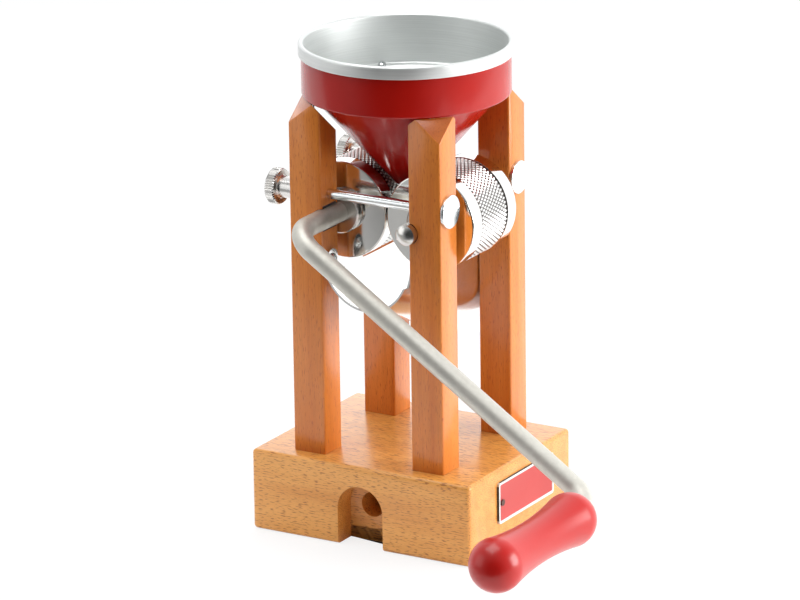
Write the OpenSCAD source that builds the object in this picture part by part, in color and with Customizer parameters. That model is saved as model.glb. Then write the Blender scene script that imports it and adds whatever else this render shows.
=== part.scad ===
// Hand-cranked grain flaker for a kitchen table.
// Four beech posts carry a spun hopper over two knurled steel rollers, and a
// sloping trough under the rollers leads the flakes out behind the base.
// Millimetres, Z up. The origin lies on the bench, under the centre of the base.
// The crank is in front, towards -Y, and the flakes leave towards +Y.

/* [Base block] */
// Width of the base, left to right
base_w = 146; // [138:1:180]
// Depth of the base, front to back
base_d = 120; // [112:1:150]
// Height of the base
base_h = 49; // [42:1:70]
// Rounding of the edges of the base
base_round = 2.5; // [1:0.5:5]

/* [Clamp slot] */
// Width of the arched slot in the front face
slot_w = 30; // [22:1:36]
// Depth of the slot, from the front face
slot_depth = 15; // [10:1:22]
// Height of the centre of the arch above the bench
slot_centre_h = 22; // [18:1:24]
// Diameter of the blind hole that takes the peg of the table clamp
peg_hole_d = 15; // [10:0.5:18]
// Depth of the peg hole behind the slot
peg_hole_depth = 32; // [20:1:45]
// Width of the groove across the underside, front to back
groove_w = 25; // [12:1:28]
// Height of the groove across the underside
groove_h = 7.3; // [4:0.1:9]

/* [Rollers] */
// Diameter of each roller
roller_d = 57.6; // [52:0.2:62]
// Length of each roller
roller_l = 50; // [46:1:56]
// Gap between the rollers, where the grain is flattened
nip_gap = 0.4; // [0.3:0.05:1]
// Height of both roller axes above the bench
axis_h = 191.1; // [180:0.5:205]
// Length of the knurled band in the middle of each roller
knurl_l = 30; // [20:1:40]
// Teeth around each knurled band
knurl_teeth = 112; // [80:1:120]
// Depth of the knurled teeth
knurl_depth = 0.6; // [0.3:0.05:0.9]
// How far the crests of the knurl lie below the smooth bands
knurl_relief = 0.1; // [0.05:0.05:0.3]
// Diameter of the collar at each end of a roller
collar_d = 26; // [22:1:34]
// Length of each collar
collar_l = 5; // [4:0.5:8]
// End play between a collar and the post beside it
end_play = 0.5; // [0.3:0.1:1]
// Diameter of the roll pin through each collar
collar_pin_d = 2.5; // [2:0.1:3]

/* [Axles and liners] */
// Diameter of the crank rod and of the idle axle
axle_d = 12; // [10:0.5:14]
// Wall of the half-round liners under the axles
liner_wall = 1.5; // [1:0.1:2.5]
// Thickness of the shoulders that hide the ends of a liner in its post
liner_shoulder = 2; // [1:0.5:4]
// Gap between those shoulders and the axle
shoulder_gap = 0.3; // [0.2:0.05:0.5]
// Radial clearance of a turning axle
running_fit = 0.05; // [0.03:0.01:0.1]
// Radial clearance of pieces that are pressed or glued together
seat_fit = 0.02; // [0.01:0.01:0.05]
// How far the domed axle ends stand out of the posts
axle_reach = 4.5; // [3:0.5:10]

/* [Posts] */
// Width of the posts, left to right
post_w = 21; // [18:0.5:24]
// Depth of the posts, front to back
post_d = 19; // [17:0.5:24]
// Rounding of the long edges of the posts
post_round = 1.2; // [0.6:0.2:3]
// Distance of the ridge of a post inside the outer wall of the hopper
ridge_inset = 1.4; // [1:0.1:3]
// Fall of the outer facet of a post for each millimetre along the diagonal
roof_slope = 1.13; // [0.8:0.01:1.4]
// Gap between the ridges of the posts and the hopper that stands on them
seat_gap = 0.1; // [0.05:0.05:0.4]

/* [Hopper] */
// Outer radius of the painted band of the hopper
band_r = 60.5; // [58:0.5:66]
// Height of the painted band
band_h = 23.5; // [12:0.5:40]
// Width of the flat shelf between the band and the cone
shelf_w = 5.5; // [4:0.1:8]
// Rise of the cone wall for each millimetre of radius
cone_slope = 1.13; // [1:0.01:1.25]
// Thickness of the sheet
sheet = 1.5; // [1:0.1:2]
// Outer radius of the open neck over the nip
neck_r = 7.5; // [6.5:0.5:10]
// How far the rollers reach in through the windows cut in the cone
roller_in = 3.2; // [2.6:0.1:4]
// Height of the rolled lip
lip_h = 7.5; // [4:0.5:12]
// How far the rolled lip stands out from the band
lip_out = 1.5; // [1:0.1:3]
// Gap between the rollers and the edges of those windows
cone_gap = 0.5; // [0.4:0.1:2]

/* [Tie bolts] */
// Diameter of the tie bolts
tie_d = 6; // [5:0.5:8]
// Height of the tie bolts above the roller axes
tie_rise = 13.6; // [12.5:0.1:18]
// Diameter of the flat round bolt heads
tie_head_d = 19.5; // [14:0.5:20]
// Thickness of the flat round bolt heads
tie_head_t = 2; // [1.5:0.1:4]
// Chamfer round the face of those heads
tie_head_edge = 0.4; // [0.2:0.1:1]
// Diameter of the knurled thumb knobs
knob_d = 21.4; // [16:0.2:24]
// Thickness of the knurled flange of a knob
knob_t = 6; // [4:0.5:10]
// Diameter of the hub of a knob
hub_d = 12.8; // [10:0.2:15]
// Length of the hub of a knob
hub_l = 9.5; // [6:0.5:14]
// Teeth around a knob
knob_teeth = 44; // [24:1:60]
// Diameter of the washer under each knob
washer_d = 15; // [13:0.5:18]
// Thickness of that washer
washer_t = 1; // [0.8:0.1:2]

/* [Crank] */
// Distance from the roller axis to the axis of the grip
crank_reach = 234; // [180:1:250]
// Angle of the arm below level, as the crank stands at rest
crank_angle = 33.9; // [20:0.1:40]
// Distance of the arm in front of the centre of the machine
crank_front = 81; // [78:1:95]
// Radius of the two bends in the rod, on its centre line
bend_r = 16; // [14:0.5:18]

/* [Grip] */
// Diameter of the two bulbs of the grip
bulb_d = 31; // [28:0.5:36]
// Diameter of the waist of the grip
waist_d = 24.6; // [22:0.2:26]
// Distance between the centres of the bulbs
bulb_pitch = 84.3; // [60:0.5:90]
// Gap between the arm's centre plane and the rear end of the grip
grip_start = 11.2; // [10:0.1:13]
// Radial clearance between the grip and its spindle
grip_fit = 0.1; // [0.05:0.01:0.1]
// Wall left in front of the end of the spindle
grip_end_wall = 12; // [8:1:20]
// Radius of the widened mouth that clears the bend
grip_mouth_r = 8; // [7.8:0.1:10]
// Depth of the widened mouth
grip_mouth_depth = 7; // [6:0.5:10]
// Depth of the ring groove that keeps the grip on the spindle
snap_depth = 0.8; // [0.5:0.1:1]
// Width of that ring groove
snap_w = 3; // [2:0.5:5]

/* [Flake chute] */
// Thickness of the chute sheet
chute_sheet = 1.2; // [0.8:0.1:2]
// Gap between the chute and the posts on each side
chute_gap = 0.3; // [0.2:0.1:0.6]
// Slope of the chute below level
chute_slope = 20.8; // [15:0.1:24]
// Height of the bottom of the trough at its front end
chute_front_h = 140; // [132:0.5:142]
// Gap between the rollers and the top edge of the chute
chute_top_gap = 5; // [4:0.1:10]
// How far the chute reaches out behind the base
chute_rear_out = 6.5; // [4:0.5:20]
// Slope of the cut at the rear end of the side walls
chute_tail_slope = 45; // [35:1:60]
// Rise of the front ears above the top edge of the chute
ear_rise = 14.5; // [14:0.5:20]
// Width of the front ears
ear_w = 12; // [10:0.5:14]

/* [Side plate] */
// Length of the bare plate on the right side of the base
plate_l = 65; // [40:1:80]
// Height of the plate
plate_h = 25; // [15:0.5:30]
// Thickness of the plate
plate_t = 1.6; // [1:0.1:3]
// Height of the lower edge of the plate above the bench
plate_low = 16.5; // [10:0.5:20]
// Distance of the middle of the plate behind the centre of the base
plate_back = 4.5; // [0:0.5:10]
// Width of the raised border of the plate
plate_border = 1.4; // [1:0.1:2.5]

/* [Fasteners] */
// Shank diameter of the upright screws in the shelf of the hopper
hopper_screw_d = 3; // [2.6:0.1:3.4]
// Length of the hopper screws under the head
hopper_screw_l = 18; // [14:0.5:20]
// Head diameter of the hopper screws
hopper_head_d = 5.4; // [5:0.1:6]
// Head height of the hopper screws
hopper_head_h = 1.9; // [1.4:0.1:2.1]
// Gap between the heads of the hopper screws and the wall of the band
hopper_head_gap = 0.2; // [0.1:0.05:0.5]
// Shank diameter of the chute screws
screw_d = 3.5; // [3:0.1:4]
// Length of the chute screws under the head
screw_l = 14; // [10:0.5:16]
// Head diameter of the chute screws
screw_head_d = 7; // [6:0.2:8]
// Head height of the chute screws
screw_head_h = 2; // [1.5:0.1:2.5]
// Radial clearance of the screws in the sheets that they hold
screw_play = 0.2; // [0.1:0.05:0.4]
// Shank diameter of the long screws that hold the posts
post_screw_d = 6; // [5:0.5:7]
// Depth of those screws inside a post
post_screw_grip = 35; // [25:1:45]
// Head diameter of the long screws
post_screw_head_d = 11; // [10:0.5:13]
// Head height of the long screws
post_screw_head_h = 4; // [3:0.5:5]
// Depth of the hole that hides each long screw head
post_screw_sink = 18; // [14:1:24]
// Diameter of the small pins in the side plate
plate_pin_d = 2.4; // [1.6:0.1:3]
// Length of those pins inside the base
plate_pin_l = 9; // [6:0.5:12]
// Distance of the pins from the ends of the plate
plate_pin_inset = 4; // [3:0.5:6]

/* [Hidden] */
$fn = 96;
eps = 0.01;
over = 1;

roller_r = roller_d / 2;
axle_r = axle_d / 2;
axis_x = roller_r + nip_gap / 2;

// The inner faces of the posts pass through the centre lines of the axles.
post_in_x = axis_x;
post_in_y = roller_l / 2 + collar_l + end_play;
post_x = post_in_x + post_w / 2;
post_y = post_in_y + post_d / 2;
post_out_x = post_in_x + post_w;
post_out_y = post_in_y + post_d;

// In a plane through the Z axis the outside of the cone is z = cone_slope * r + cone_c,
// a line that cuts roller_in deep into the rollers. The cone ends at the flat shelf.
cone_len = sqrt(1 + cone_slope * cone_slope);
cone_up = sheet * cone_len;
cone_c = axis_h - cone_slope * axis_x + (roller_r - roller_in) * cone_len;
cone_top_r = band_r - shelf_w;
band_low = cone_slope * cone_top_r + cone_c;
lip_low = band_low + band_h;
hopper_top = lip_low + lip_h;
inner_r = band_r - sheet;

// Distances along the diagonal of the plan, from the Z axis.
diag_outer = (post_out_x + post_out_y) / sqrt(2);
diag_ridge = band_r - ridge_inset;
diag_screw = inner_r - hopper_head_gap - hopper_head_d / 2;
ridge_z = band_low - seat_gap;

notch_r = axle_r + running_fit + liner_wall + seat_fit;
liner_l = post_d - 2 * liner_shoulder - 2 * seat_fit;
axle_half = post_out_y + axle_reach;
collar_mid = roller_l / 2 + collar_l / 2;
collar_pin_l = collar_d - 1;

tie_z = axis_h + tie_rise;
tie_left = post_out_x + washer_t + hub_l + knob_t / 2;

bulb_r = bulb_d / 2;
grip_l = bulb_pitch + bulb_d;
spindle_l = grip_start + grip_l - grip_end_wall;
snap_y = grip_start + grip_l / 2;

chute_r = post_in_x - chute_gap;
chute_in_r = chute_r - chute_sheet;
chute_top = axis_h - roller_r - chute_top_gap;
chute_front_y = -post_out_y;
chute_rear_y = base_d / 2 + chute_rear_out;
ear_screw_z = chute_top + ear_rise - ear_w / 2;
rear_screw_z = chute_top - ear_w / 2;
// Height of the centre line of the round bottom of the chute, at depth y.
function chute_centre_z(y) =
  chute_front_h + chute_r / cos(chute_slope) - (y - chute_front_y) * tan(chute_slope);
// How far a screw head at y and z lies below that line, square to the slope.
function head_drop(y, z) =
  max(0, (chute_centre_z(y) - z) * cos(chute_slope) + screw_head_d / 2);
// Distance from the post to the head, which stands on the curved wall by its lower edge.
function head_out(y, z) =
  post_in_x - sqrt(chute_in_r * chute_in_r - head_drop(y, z) * head_drop(y, z));

plate_mid_h = plate_low + plate_h / 2;

beech_light = [0.85, 0.64, 0.40];
beech_dark = [0.76, 0.46, 0.22];
red_paint = [0.72, 0.07, 0.06];
bare_steel = [0.78, 0.78, 0.76];
bright_steel = [0.88, 0.88, 0.87];
dark_plastic = [0.25, 0.23, 0.21];

// Rectangle centred on the origin with rounded corners.
module round_rect(w, h, r) {
  square([w - 2 * r, h], center = true);
  square([w, h - 2 * r], center = true);
  for (x = [-1, 1], y = [-1, 1])
    translate([x * (w / 2 - r), y * (h / 2 - r)]) circle(r);
}

// Block whose twelve edges are rounded, standing on Z = 0.
module round_block(w, d, h, r) {
  translate([0, 0, h / 2]) intersection() {
    linear_extrude(h, center = true) round_rect(w, d, r);
    rotate([90, 0, 0]) linear_extrude(d, center = true) round_rect(w, h, r);
    rotate([90, 0, 90]) linear_extrude(w, center = true) round_rect(d, h, r);
  }
}

// Outline of a toothed wheel with pointed teeth.
module toothed(n, r, depth) {
  polygon([for (i = [0 : 2 * n - 1])
    (i % 2 == 0 ? r : r - depth) * [cos(180 * i / n), sin(180 * i / n)]]);
}

// Screw with a low domed head; the shank runs down from Z = 0, the head stands up.
module domed_screw(d, l, head_d, head_h) {
  dome_r = (head_d * head_d / 4 + head_h * head_h) / (2 * head_h);
  translate([0, 0, -l]) cylinder(l + eps, d = d);
  difference() {
    intersection() {
      translate([0, 0, head_h - dome_r]) sphere(dome_r);
      cylinder(head_h + over, d = head_d);
    }
    for (a = [0, 90])
      rotate([0, 0, a]) translate([-head_d * 0.3, -head_d * 0.06, head_h * 0.55])
        cube([head_d * 0.6, head_d * 0.12, head_h]);
  }
}

// Puts its children on the shelf of the hopper, over the middle of each post.
module at_hopper_screws() {
  for (sx = [-1, 1], sy = [-1, 1])
    rotate([0, 0, atan2(sy, sx)]) translate([diag_screw, 0, band_low + sheet]) children();
}

// Puts its children under the head of each chute screw, with Z pointing into the chute.
module at_chute_screws() {
  for (sx = [-1, 1], sy = [-1, 1]) {
    z = sy < 0 ? ear_screw_z : rear_screw_z;
    translate([sx * (post_in_x - head_out(sy * post_y, z)), sy * post_y, z])
      rotate([0, -sx * 90, 0]) children();
  }
}

// Puts its children under each post, on the underside of the base.
module at_posts() {
  for (sx = [-1, 1], sy = [-1, 1]) translate([sx * post_x, sy * post_y, 0]) children();
}

// Puts its children on the outer face of the base at each plate pin, with Z outwards.
module at_plate_pins() {
  for (s = [-1, 1])
    translate([base_w / 2, plate_back + s * (plate_l / 2 - plate_pin_inset), plate_mid_h])
      rotate([0, 90, 0]) children();
}

// The base, with the arched clamp slot, its peg hole and the groove underneath.
module base_block() {
  color(beech_light) difference() {
    round_block(base_w, base_d, base_h, base_round);
    translate([-slot_w / 2, -base_d / 2 - over, -over])
      cube([slot_w, slot_depth + over, slot_centre_h + over]);
    translate([0, -base_d / 2 - over, slot_centre_h]) rotate([-90, 0, 0])
      cylinder(slot_depth + over, d = slot_w);
    translate([0, slot_depth - base_d / 2 - eps, slot_centre_h]) rotate([-90, 0, 0])
      cylinder(peg_hole_depth + eps, d = peg_hole_d);
    translate([-base_w / 2 - over, slot_depth - base_d / 2, -over])
      cube([base_w + 2 * over, groove_w, groove_h + over]);
    at_posts() {
      translate([0, 0, -over]) cylinder(base_h + 2 * over, d = post_screw_d + 2 * seat_fit);
      translate([0, 0, -over]) cylinder(post_screw_sink + over, d = post_screw_head_d + 1);
    }
    at_plate_pins() translate([0, 0, -plate_pin_l])
      cylinder(plate_pin_l + over, d = plate_pin_d + 2 * seat_fit);
  }
}

// Roof-shaped top of the posts, as a side view along the diagonal of the plan: the
// inner facet follows the slope of the cone and the outer one sheds the corner.
module roof_outline() {
  inner_z = ridge_z - cone_slope * diag_ridge;
  outer_x = diag_outer + over;
  polygon([[0, base_h], [outer_x, base_h],
    [outer_x, ridge_z - roof_slope * (outer_x - diag_ridge)], [diag_ridge, ridge_z], [0, inner_z]]);
}

// One post; sx and sy say on which side of the centre it stands.
module post(sx, sy) {
  color(beech_dark) difference() {
    intersection() {
      translate([sx * post_x, sy * post_y, base_h])
        linear_extrude(ridge_z) round_rect(post_w, post_d, post_round);
      rotate([0, 0, atan2(sy, sx)]) rotate([90, 0, 0])
        linear_extrude(2 * post_w, center = true) roof_outline();
    }
    translate([sx * axis_x, sy * post_y, axis_h]) rotate([90, 0, 0]) {
      cylinder(post_d + 2 * over, r = axle_r + shoulder_gap, center = true);
      cylinder(post_d - 2 * liner_shoulder, r = notch_r, center = true);
    }
    translate([sx * post_x, sy * post_y, tie_z]) rotate([0, 90, 0])
      cylinder(post_w + 2 * over, d = tie_d + 2 * running_fit, center = true);
    translate([sx * post_x, sy * post_y, base_h - over])
      cylinder(post_screw_grip + 2 * over, d = post_screw_d + 2 * seat_fit);
    at_hopper_screws() translate([0, 0, -hopper_screw_l - over])
      cylinder(hopper_screw_l + over, d = hopper_screw_d + 2 * seat_fit);
    at_chute_screws() translate([0, 0, -screw_l - over])
      cylinder(screw_l + over, d = screw_d + 2 * seat_fit);
  }
}

module post_front_left() { post(-1, -1); }
module post_front_right() { post(1, -1); }
module post_rear_left() { post(-1, 1); }
module post_rear_right() { post(1, 1); }

// Four long screws that hold the posts from below.
module post_screws() {
  slot_w = 1.2;
  slot_h = 1.5;
  color(bare_steel) at_posts() {
    translate([0, 0, post_screw_sink])
      cylinder(base_h - post_screw_sink + post_screw_grip, d = post_screw_d);
    difference() {
      translate([0, 0, post_screw_sink - post_screw_head_h])
        cylinder(post_screw_head_h, d = post_screw_head_d);
      for (a = [0, 90])
        rotate([0, 0, a]) translate([0, 0, post_screw_sink - post_screw_head_h])
          cube([post_screw_head_d * 0.6, slot_w, 2 * slot_h], center = true);
    }
  }
}

// Half of the section of the hopper: neck, cone, shelf, band and rolled lip.
module hopper_section() {
  shelf_top = band_low + sheet;
  polygon([[neck_r, cone_slope * neck_r + cone_c], [cone_top_r, band_low], [inner_r, band_low],
    [band_r, shelf_top], [band_r, lip_low + over], [inner_r, lip_low + over],
    [inner_r, shelf_top], [(shelf_top - cone_c - cone_up) / cone_slope, shelf_top],
    [neck_r - sheet, cone_slope * (neck_r - sheet) + cone_c + cone_up],
    [neck_r - sheet, cone_slope * neck_r + cone_c]]);
  translate([inner_r, shelf_top]) intersection() {
    circle(sheet);
    translate([0, -sheet]) square(sheet);
  }
  lip_w = band_r + lip_out - inner_r;
  translate([inner_r, lip_low]) square([lip_w, lip_h - lip_w / 2]);
  translate([inner_r + lip_w / 2, hopper_top - lip_w / 2]) circle(d = lip_w);
}

// The hopper, spun from one sheet, with a window for each roller and its screw holes.
module hopper() {
  color(red_paint) difference() {
    rotate_extrude() hopper_section();
    for (s = [-1, 1]) translate([s * axis_x, 0, axis_h]) rotate([90, 0, 0])
      cylinder(2 * band_r, r = roller_r + cone_gap, center = true);
    at_hopper_screws() cylinder(4 * sheet, d = hopper_screw_d + 2 * screw_play, center = true);
  }
}

module hopper_screws() {
  color(bare_steel) at_hopper_screws()
    domed_screw(hopper_screw_d, hopper_screw_l, hopper_head_d, hopper_head_h);
}

// Smooth bands and knurled middle of a roller, bored for its axle.
module roller(x) {
  smooth_l = (roller_l - knurl_l) / 2;
  color(bright_steel) translate([x, 0, axis_h]) rotate([90, 0, 0]) difference() {
    union() {
      linear_extrude(knurl_l + 2 * eps, center = true)
        toothed(knurl_teeth, roller_r - knurl_relief, knurl_depth);
      for (s = [-1, 1]) translate([0, 0, s * (knurl_l + smooth_l) / 2])
        cylinder(smooth_l, r = roller_r, center = true);
    }
    cylinder(roller_l + 2 * over, r = axle_r + seat_fit, center = true);
  }
}

module drive_roller() { roller(-axis_x); }
module idle_roller() { roller(axis_x); }

// Collar between a roller and the posts, cross-drilled for its roll pin.
module collar(x, s) {
  chamfer = 0.8;
  color(bare_steel) translate([x, s * collar_mid, axis_h]) difference() {
    rotate([90, 0, 0]) rotate_extrude() polygon([[axle_r + seat_fit, -collar_l / 2],
      [collar_d / 2 - chamfer, -collar_l / 2], [collar_d / 2, chamfer - collar_l / 2],
      [collar_d / 2, collar_l / 2 - chamfer], [collar_d / 2 - chamfer, collar_l / 2],
      [axle_r + seat_fit, collar_l / 2]]);
    cylinder(collar_d + 2 * over, d = collar_pin_d + 2 * seat_fit, center = true);
  }
}

module drive_collar_front() { collar(-axis_x, -1); }
module drive_collar_rear() { collar(-axis_x, 1); }
module idle_collar_front() { collar(axis_x, -1); }
module idle_collar_rear() { collar(axis_x, 1); }

// Upright roll pins through the two collars of one axle.
module collar_pins(x) {
  color(bare_steel) for (s = [-1, 1])
    translate([x, s * collar_mid, axis_h]) cylinder(collar_pin_l, d = collar_pin_d, center = true);
}

module drive_collar_pins() { collar_pins(-axis_x); }
module idle_collar_pins() { collar_pins(axis_x); }

// Holes for the two roll pins, cut through an axle that lies along Y.
module axle_pin_holes() {
  for (s = [-1, 1]) translate([0, s * collar_mid, 0])
    cylinder(axle_d + 2 * over, d = collar_pin_d + 2 * seat_fit, center = true);
}

// Low dome that closes the end of an axle, standing on Z = 0.
module axle_dome() {
  dome_h = axle_r / 3;
  dome_r = (axle_r * axle_r + dome_h * dome_h) / (2 * dome_h);
  intersection() {
    translate([0, 0, dome_h - dome_r]) sphere(dome_r);
    cylinder(axle_d, r = axle_r);
  }
}

// Quarter bend of the rod in the XY plane, from +X to +Y round the origin.
module rod_bend() {
  rotate_extrude(angle = 90) translate([bend_r, 0]) circle(axle_r);
}

// One bent rod: drive axle, arm and spindle of the grip.
module crank_rod() {
  color(bare_steel) difference() {
    translate([-axis_x, -crank_front, axis_h]) rotate([0, crank_angle, 0]) {
      translate([0, bend_r, 0]) rotate([-90, 0, 0])
        cylinder(crank_front + axle_half - bend_r, r = axle_r);
      translate([0, crank_front + axle_half, 0]) rotate([-90, 0, 0]) axle_dome();
      translate([bend_r, bend_r, 0]) rotate([0, 0, 180]) rod_bend();
      translate([bend_r, 0, 0]) rotate([0, 90, 0])
        cylinder(crank_reach - 2 * bend_r, r = axle_r);
      translate([crank_reach - bend_r, -bend_r, 0]) rod_bend();
      translate([crank_reach, -bend_r, 0]) rotate([90, 0, 0]) difference() {
        cylinder(spindle_l - bend_r, r = axle_r);
        translate([0, 0, snap_y - bend_r - snap_w / 2]) difference() {
          cylinder(snap_w, r = axle_r + over);
          cylinder(snap_w, r = axle_r - snap_depth);
        }
      }
    }
    translate([-axis_x, 0, axis_h]) axle_pin_holes();
  }
}

// Straight axle of the idle roller, domed at both ends.
module idle_axle() {
  color(bare_steel) translate([axis_x, 0, axis_h]) difference() {
    union() {
      rotate([90, 0, 0]) cylinder(2 * axle_half, r = axle_r, center = true);
      translate([0, -axle_half, 0]) rotate([90, 0, 0]) axle_dome();
      translate([0, axle_half, 0]) rotate([-90, 0, 0]) axle_dome();
    }
    axle_pin_holes();
  }
}

// Half-round liner held between the two shoulders of the notch in a post.
module liner(sx, sy) {
  color(dark_plastic) translate([sx * axis_x, sy * post_y, axis_h]) intersection() {
    rotate([90, 0, 0]) difference() {
      cylinder(liner_l, r = notch_r - seat_fit, center = true);
      cylinder(liner_l + 2 * over, r = axle_r + running_fit, center = true);
    }
    translate([sx * notch_r, 0, 0]) cube([2 * notch_r, post_d, 2 * notch_r], center = true);
  }
}

module liner_front_left() { liner(-1, -1); }
module liner_front_right() { liner(1, -1); }
module liner_rear_left() { liner(-1, 1); }
module liner_rear_right() { liner(1, 1); }

// Half of the section of the grip, along +Y from its rear end: two bulbs joined by
// a waist whose arc runs smoothly into both of them.
module grip_section() {
  half = bulb_pitch / 2;
  waist_r = waist_d / 2;
  arc_r = (half * half + waist_r * waist_r - bulb_r * bulb_r) / (2 * (bulb_r - waist_r));
  touch = half - bulb_r * half / (arc_r + bulb_r);
  intersection() {
    translate([0, -grip_l]) square([bulb_d, 2 * grip_l]);
    translate([0, grip_l / 2]) union() {
      for (s = [-1, 1]) translate([0, s * half]) circle(bulb_r);
      difference() {
        square([2 * bulb_r, 2 * touch], center = true);
        for (s = [-1, 1]) translate([s * (waist_r + arc_r), 0]) circle(arc_r, $fn = 360);
      }
    }
  }
}

// The grip turns on the spindle and is kept on it by an inner bead.
module crank_grip() {
  color(red_paint) translate([-axis_x, -crank_front, axis_h]) rotate([0, crank_angle, 0])
    translate([crank_reach, -grip_start, 0]) rotate([90, 0, 0]) difference() {
      rotate_extrude() grip_section();
      translate([0, 0, -over]) cylinder(grip_mouth_depth + over, r = grip_mouth_r);
      difference() {
        cylinder(grip_l - grip_end_wall + over, r = axle_r + grip_fit);
        translate([0, 0, grip_l / 2 - snap_w / 4]) difference() {
          cylinder(snap_w / 2, r = axle_r + over);
          cylinder(snap_w / 2, r = axle_r - snap_depth + grip_fit);
        }
      }
    }
}

// Tie bolt from its flat head on the right to the end of its thread on the left.
module tie_bolt(sy) {
  head_r = tie_head_d / 2;
  color(bare_steel) translate([0, sy * post_y, tie_z]) rotate([0, 90, 0]) {
    translate([0, 0, -tie_left]) cylinder(tie_left + post_out_x, d = tie_d);
    translate([0, 0, post_out_x]) rotate_extrude()
      polygon([[0, 0], [head_r, 0], [head_r, tie_head_t - tie_head_edge],
        [head_r - tie_head_edge, tie_head_t], [0, tie_head_t]]);
  }
}

module tie_bolt_front() { tie_bolt(-1); }
module tie_bolt_rear() { tie_bolt(1); }

// Thumb knob: a knurled flange on a smooth hub, threaded onto the tie bolt.
module thumb_knob(sy) {
  chamfer = 0.8;
  dish = 1;
  color(bare_steel) translate([-post_out_x - washer_t, sy * post_y, tie_z]) rotate([0, -90, 0])
    difference() {
      union() {
        cylinder(hub_l + eps, d = hub_d);
        translate([0, 0, hub_l]) intersection() {
          linear_extrude(knob_t) toothed(knob_teeth, knob_d / 2, 0.7);
          rotate_extrude() polygon([[0, 0], [knob_d / 2 - chamfer, 0], [knob_d / 2, chamfer],
            [knob_d / 2, knob_t - chamfer], [knob_d / 2 - chamfer, knob_t], [0, knob_t]]);
        }
      }
      translate([0, 0, hub_l + knob_t - dish]) cylinder(dish + over, d = hub_d);
      translate([0, 0, -over]) cylinder(over + hub_l + knob_t / 2 + 0.3, d = tie_d + 2 * running_fit);
    }
}

module thumb_knob_front() { thumb_knob(-1); }
module thumb_knob_rear() { thumb_knob(1); }

// Flat washer between each knob and its post.
module knob_washers() {
  color(bright_steel) for (sy = [-1, 1])
    translate([-post_out_x - washer_t, sy * post_y, tie_z]) rotate([0, 90, 0]) difference() {
      cylinder(washer_t, d = washer_d);
      translate([0, 0, -over]) cylinder(washer_t + 2 * over, d = tie_d + 2 * running_fit);
    }
}

// Section of the trough, square to its slope: half round below, straight walls above.
module chute_section() {
  wall_h = 4 * chute_r;
  difference() {
    union() {
      circle(chute_r);
      translate([-chute_r, 0]) square([2 * chute_r, wall_h]);
    }
    circle(chute_in_r);
    translate([-chute_in_r, 0]) square([2 * chute_in_r, wall_h + over]);
  }
}

// Side view of the space that the chute is cut to, with Y to the right and Z up.
module chute_side_view() {
  back_y = post_out_y;
  tail_h = chute_top - (chute_rear_y - back_y) * tan(chute_tail_slope);
  ear_y = -post_y;
  polygon([[chute_front_y, 0], [chute_rear_y, 0], [chute_rear_y, tail_h],
    [back_y, chute_top], [chute_front_y, chute_top]]);
  translate([ear_y - ear_w / 2, chute_top - over]) square([ear_w, ear_rise + over - ear_w / 2]);
  translate([ear_y, chute_top + ear_rise - ear_w / 2]) circle(d = ear_w);
}

// The polished trough that catches the flakes and leads them out behind the base.
module flake_chute() {
  long = 4 * base_d;
  color(bright_steel) difference() {
    intersection() {
      translate([0, chute_front_y, chute_centre_z(chute_front_y)]) rotate([90 - chute_slope, 0, 0])
        linear_extrude(long, center = true) chute_section();
      rotate([90, 0, 90]) linear_extrude(2 * post_x, center = true) chute_side_view();
    }
    at_chute_screws() cylinder(2 * screw_l, d = screw_d + 2 * screw_play, center = true);
  }
}

module chute_screws() {
  color(bare_steel) at_chute_screws()
    domed_screw(screw_d, screw_l, screw_head_d, screw_head_h);
}

// Bare plate on the right side of the base, with a raised border.
module side_plate() {
  field = 0.4;
  color(red_paint) difference() {
    translate([base_w / 2, plate_back, plate_mid_h]) rotate([90, 0, 90]) difference() {
      linear_extrude(plate_t) round_rect(plate_l, plate_h, 1.5);
      translate([0, 0, plate_t - field]) linear_extrude(field + over)
        round_rect(plate_l - 2 * plate_border, plate_h - 2 * plate_border, 0.6);
    }
    at_plate_pins() cylinder(2 * plate_t, d = plate_pin_d + 2 * seat_fit);
  }
}

module side_plate_pins() {
  head_h = 0.9;
  color(bare_steel) at_plate_pins() {
    translate([0, 0, -plate_pin_l]) cylinder(plate_pin_l + plate_t, d = plate_pin_d);
    translate([0, 0, plate_t - 0.4]) cylinder(head_h, d = 1.6 * plate_pin_d);
  }
}

base_block();
post_front_left();
post_front_right();
post_rear_left();
post_rear_right();
post_screws();
hopper();
hopper_screws();
drive_roller();
idle_roller();
drive_collar_front();
drive_collar_rear();
idle_collar_front();
idle_collar_rear();
drive_collar_pins();
idle_collar_pins();
crank_rod();
idle_axle();
liner_front_left();
liner_front_right();
liner_rear_left();
liner_rear_right();
crank_grip();
tie_bolt_front();
tie_bolt_rear();
thumb_knob_front();
thumb_knob_rear();
knob_washers();
flake_chute();
chute_screws();
side_plate();
side_plate_pins();
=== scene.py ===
# %% [markdown]
# A hand-cranked grain flaker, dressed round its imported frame. The frame gives every
# piece its real place and size. This file gives each piece its finish: oiled beech,
# red paint over spun aluminium, polished and knurled steel, glossy plastic.

# %% Load the frame
import math

import bmesh
import bpy
from mathutils import Matrix, Vector


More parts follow.
